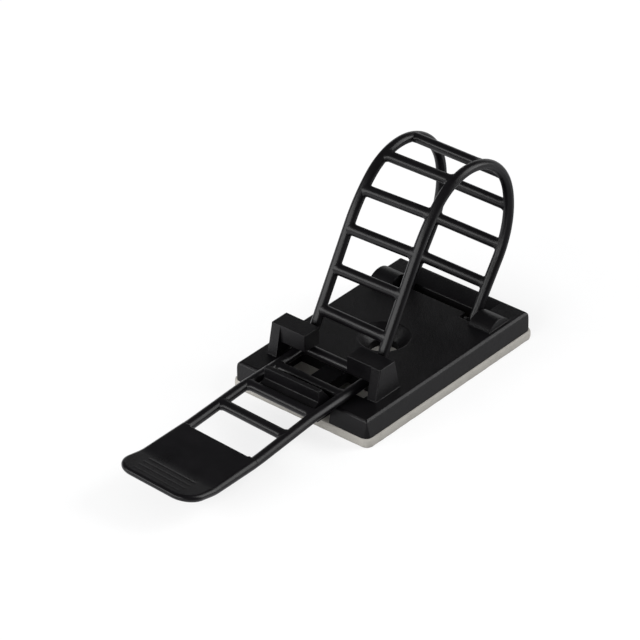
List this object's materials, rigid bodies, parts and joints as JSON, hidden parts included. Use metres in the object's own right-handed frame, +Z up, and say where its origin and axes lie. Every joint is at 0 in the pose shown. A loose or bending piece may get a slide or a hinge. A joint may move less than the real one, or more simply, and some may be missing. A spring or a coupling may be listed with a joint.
{
  "type": "cable tie mount",
  "caption": "Adhesive cable tie mount: a flat base with guide hooks and a sprung latch, and a hinged ladder strap that loops round a cable bundle and pulls tight.",
  "frame": {"origin": "centre of the adhesive face, the underside of the foam pad", "axes": "+X across the mount, +Y along the base towards the strap's hinge, with the pull tab at the -Y end, and +Z up from the adhesive face through the strap's loop"},
  "size_m": [0.0182, 0.0513, 0.0216],
  "materials": {
    "base_nylon": "satin black nylon with a fine moulded grain",
    "strap_nylon": "smooth satin black nylon",
    "pad_foam": "matt pale grey closed-cell foam"
  },
  "bodies": {
    "root": {"base": "base_nylon", "ladder_strap": "strap_nylon", "adhesive_pad": "pad_foam"}
  },
  "joints": []
}
